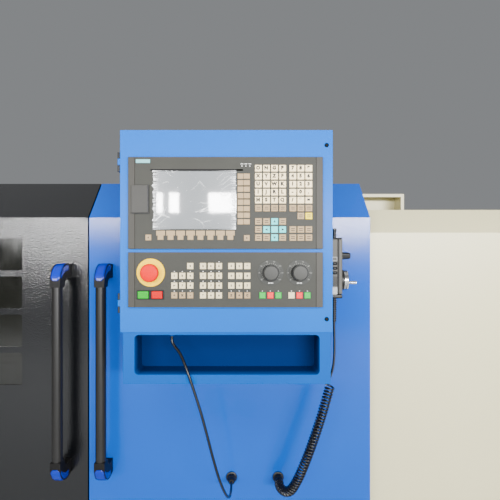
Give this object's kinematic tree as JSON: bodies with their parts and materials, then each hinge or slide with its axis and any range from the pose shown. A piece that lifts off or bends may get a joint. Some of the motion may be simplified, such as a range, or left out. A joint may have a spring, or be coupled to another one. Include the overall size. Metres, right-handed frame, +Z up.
{
  "type": "cnc turning lathe",
  "caption": "Flat-bed CNC turning lathe with sliding guard doors, a swing-front control console on the right door, a hand pendant on a curly cord and a rear guard",
  "frame": {"origin": "on the floor, under the middle of the machine's bounding box", "axes": "+X along the spindle from the headstock to the tailstock, +Y from the operator's side to the back, +Z up"},
  "size_m": [3.1, 1.5, 1.732],
  "materials": {
    "left_pedestal": "dark grey textured enamel, semi-gloss",
    "right_pedestal": "dark grey textured enamel, semi-gloss",
    "chip_pan": "dark grey textured enamel, semi-gloss",
    "bed": "machined and scraped cast iron",
    "left_cover": "cream textured enamel",
    "right_cover": "cream textured enamel",
    "upper_rail": "ground steel",
    "rear_guard": "cream textured enamel",
    "electrical_cabinet": "cream textured enamel",
    "headstock": "dark grey textured enamel, semi-gloss",
    "main_motor": "grey enamel over a cast motor body",
    "z_ball_screw": "ground steel",
    "spindle": "ground steel",
    "chuck": "ground steel",
    "chuck_jaw_1": "ground steel",
    "chuck_jaw_2": "ground steel",
    "chuck_jaw_3": "ground steel",
    "saddle": "machined and scraped cast iron",
    "cross_slide": "machined and scraped cast iron",
    "tool_turret": "ground steel",
    "tailstock": "dark grey textured enamel, semi-gloss",
    "tailstock_quill": "ground steel",
    "left_door": "dark grey textured enamel, semi-gloss",
    "left_door_window": "clear polycarbonate sheet, slightly dulled",
    "left_handle_bar": "black powder coat",
    "left_handle_top_end": "royal blue caps on black nylon brackets",
    "left_handle_bottom_end": "royal blue caps on black nylon brackets",
    "right_door": "mid blue textured enamel, semi-gloss",
    "right_handle_bar": "black powder coat",
    "right_handle_top_end": "royal blue caps on black nylon brackets",
    "right_handle_bottom_end": "royal blue caps on black nylon brackets",
    "console_box": "mid blue textured enamel, semi-gloss",
    "tool_pocket": "mid blue textured enamel, semi-gloss",
    "upper_hinge": "black enamel",
    "lower_hinge": "black enamel",
    "pendant_holder": "black moulded plastic",
    "pendant_body": "grey moulded plastic",
    "pendant_strain_relief": "black rubber or PVC",
    "pendant_lead": "black rubber or PVC",
    "curly_cord": "black rubber or PVC",
    "service_cable": "black rubber or PVC",
    "curly_cord_gland": "black moulded plastic",
    "service_cable_gland": "black moulded plastic",
    "pendant_axis_knob": "black moulded plastic",
    "pendant_wheel": "machined aluminium with a black crank",
    "console_door": "mid blue textured enamel, semi-gloss",
    "display_unit": "grey moulded plastic",
    "display_screen": "anti-glare screen, off",
    "display_keypad": "ivory key tops on a grey mat",
    "control_panel": "grey moulded plastic",
    "control_keypad": "ivory key tops on a grey mat",
    "estop_collar": "yellow plastic",
    "upper_lock": "black enamel",
    "lower_lock": "black enamel",
    "card_flap": "grey moulded plastic",
    "estop_button": "red plastic",
    "power_on_button": "green plastic",
    "power_off_button": "red plastic",
    "spindle_override_knob": "grey moulded plastic",
    "feed_override_knob": "grey moulded plastic"
  },
  "bodies": {
    "machine": {"left_pedestal": "left_pedestal", "right_pedestal": "right_pedestal", "chip_pan": "chip_pan", "bed": "bed", "left_cover": "left_cover", "right_cover": "right_cover", "upper_rail": "upper_rail", "rear_guard": "rear_guard", "electrical_cabinet": "electrical_cabinet", "headstock": "headstock", "main_motor": "main_motor"},
    "z_screw": {"z_ball_screw": "z_ball_screw"},
    "spindle": {"spindle": "spindle", "chuck": "chuck"},
    "jaw_1": {"chuck_jaw_1": "chuck_jaw_1"},
    "jaw_2": {"chuck_jaw_2": "chuck_jaw_2"},
    "jaw_3": {"chuck_jaw_3": "chuck_jaw_3"},
    "saddle": {"saddle": "saddle"},
    "cross_slide": {"cross_slide": "cross_slide"},
    "turret": {"tool_turret": "tool_turret"},
    "tailstock": {"tailstock": "tailstock"},
    "quill": {"tailstock_quill": "tailstock_quill"},
    "left_door": {"left_door": "left_door", "left_door_window": "left_door_window", "left_handle_bar": "left_handle_bar", "left_handle_top_end": "left_handle_top_end", "left_handle_bottom_end": "left_handle_bottom_end"},
    "right_door": {"right_door": "right_door", "right_handle_bar": "right_handle_bar", "right_handle_top_end": "right_handle_top_end", "right_handle_bottom_end": "right_handle_bottom_end", "console_box": "console_box", "tool_pocket": "tool_pocket", "upper_hinge": "upper_hinge", "lower_hinge": "lower_hinge", "pendant_holder": "pendant_holder", "pendant_body": "pendant_body", "pendant_strain_relief": "pendant_strain_relief", "pendant_lead": "pendant_lead", "curly_cord": "curly_cord", "service_cable": "service_cable", "curly_cord_gland": "curly_cord_gland", "service_cable_gland": "service_cable_gland"},
    "axis_knob": {"pendant_axis_knob": "pendant_axis_knob"},
    "handwheel": {"pendant_wheel": "pendant_wheel"},
    "console_door": {"console_door": "console_door", "display_unit": "display_unit", "display_screen": "display_screen", "display_keypad": "display_keypad", "control_panel": "control_panel", "control_keypad": "control_keypad", "estop_collar": "estop_collar"},
    "upper_lock": {"upper_lock": "upper_lock"},
    "lower_lock": {"lower_lock": "lower_lock"},
    "card_flap": {"card_flap": "card_flap"},
    "estop": {"estop_button": "estop_button"},
    "power_on": {"power_on_button": "power_on_button"},
    "power_off": {"power_off_button": "power_off_button"},
    "spindle_override": {"spindle_override_knob": "spindle_override_knob"},
    "feed_override": {"feed_override_knob": "feed_override_knob"}
  },
  "joints": [
    {"name": "left_door_slide", "type": "slide", "parent": "machine", "child": "left_door", "axis": [-1, 0, 0], "range_m": [0, 0.7]},
    {"name": "right_door_slide", "type": "slide", "parent": "machine", "child": "right_door", "axis": [1, 0, 0], "range_m": [0, 0.55]},
    {"name": "spindle_turn", "type": "hinge", "parent": "machine", "child": "spindle", "pos_m": [-0.8, -0.06, 1.1303], "axis": [1, 0, 0], "continuous": true},
    {"name": "jaw_1_slide", "type": "slide", "parent": "spindle", "child": "jaw_1", "axis": [0, 0, 1], "range_m": [0, 0.03]},
    {"name": "jaw_2_slide", "type": "slide", "parent": "spindle", "child": "jaw_2", "axis": [0, -0.866, -0.5], "range_m": [0, 0.03]},
    {"name": "jaw_3_slide", "type": "slide", "parent": "spindle", "child": "jaw_3", "axis": [0, 0.866, -0.5], "range_m": [0, 0.03]},
    {"name": "saddle_slide", "type": "slide", "parent": "machine", "child": "saddle", "axis": [1, 0, 0], "range_m": [-0.45, 0.25]},
    {"name": "z_screw_turn", "type": "hinge", "parent": "machine", "child": "z_screw", "pos_m": [0, -0.3, 0.8], "axis": [1, 0, 0], "continuous": true},
    {"name": "cross_slide_feed", "type": "slide", "parent": "saddle", "child": "cross_slide", "axis": [0, 1, 0], "range_m": [-0.1, 0.12]},
    {"name": "turret_turn", "type": "hinge", "parent": "cross_slide", "child": "turret", "pos_m": [0.1, -0.215, 1.08], "axis": [0, 0, 1], "continuous": true},
    {"name": "tailstock_slide", "type": "slide", "parent": "machine", "child": "tailstock", "axis": [1, 0, 0], "range_m": [0, 0.12]},
    {"name": "quill_slide", "type": "slide", "parent": "tailstock", "child": "quill", "axis": [-1, 0, 0], "range_m": [0, 0.12]},
    {"name": "pendant_axis_knob_turn", "type": "hinge", "parent": "right_door", "child": "axis_knob", "pos_m": [0.842, -0.611, 1.435], "axis": [1, 0, 0], "range_deg": [-60, 60]},
    {"name": "pendant_wheel_turn", "type": "hinge", "parent": "right_door", "child": "handwheel", "pos_m": [0.843, -0.611, 1.372], "axis": [1, 0, 0], "continuous": true},
    {"name": "console_door_hinge", "type": "hinge", "parent": "right_door", "child": "console_door", "pos_m": [0.298, -0.712, 1.494], "axis": [0, 0, -1], "range_deg": [0, 95]},
    {"name": "upper_lock_turn", "type": "hinge", "parent": "console_door", "child": "upper_lock", "pos_m": [0.788, -0.718, 1.6966], "axis": [0, -1, 0], "range_deg": [0, 90]},
    {"name": "lower_lock_turn", "type": "hinge", "parent": "console_door", "child": "lower_lock", "pos_m": [0.788, -0.718, 1.2874], "axis": [0, -1, 0], "range_deg": [0, 90]},
    {"name": "card_flap_hinge", "type": "hinge", "parent": "console_door", "child": "card_flap", "pos_m": [0.3305, -0.7253, 1.568], "axis": [0, 0, -1], "range_deg": [0, 90]},
    {"name": "estop_press", "type": "slide", "parent": "console_door", "child": "estop", "axis": [0, 1, 0], "range_m": [0, 0.005]},
    {"name": "power_on_press", "type": "slide", "parent": "console_door", "child": "power_on", "axis": [0, 1, 0], "range_m": [0, 0.003], "stiffness_N_per_m": 400},
    {"name": "power_off_press", "type": "slide", "parent": "console_door", "child": "power_off", "axis": [0, 1, 0], "range_m": [0, 0.003], "stiffness_N_per_m": 400},
    {"name": "spindle_override_turn", "type": "hinge", "parent": "console_door", "child": "spindle_override", "pos_m": [0.6555, -0.725, 1.3972], "axis": [0, -1, 0], "range_deg": [-130, 130]},
    {"name": "feed_override_turn", "type": "hinge", "parent": "console_door", "child": "feed_override", "pos_m": [0.7227, -0.725, 1.3972], "axis": [0, -1, 0], "range_deg": [-130, 130]}
  ],
  "couplings": [
    {"joint": "jaw_2_slide", "follows": "jaw_1_slide", "ratio": 1},
    {"joint": "jaw_3_slide", "follows": "jaw_1_slide", "ratio": 1},
    {"joint": "z_screw_turn", "follows": "saddle_slide", "rad_per_m": 628.32}
  ]
}
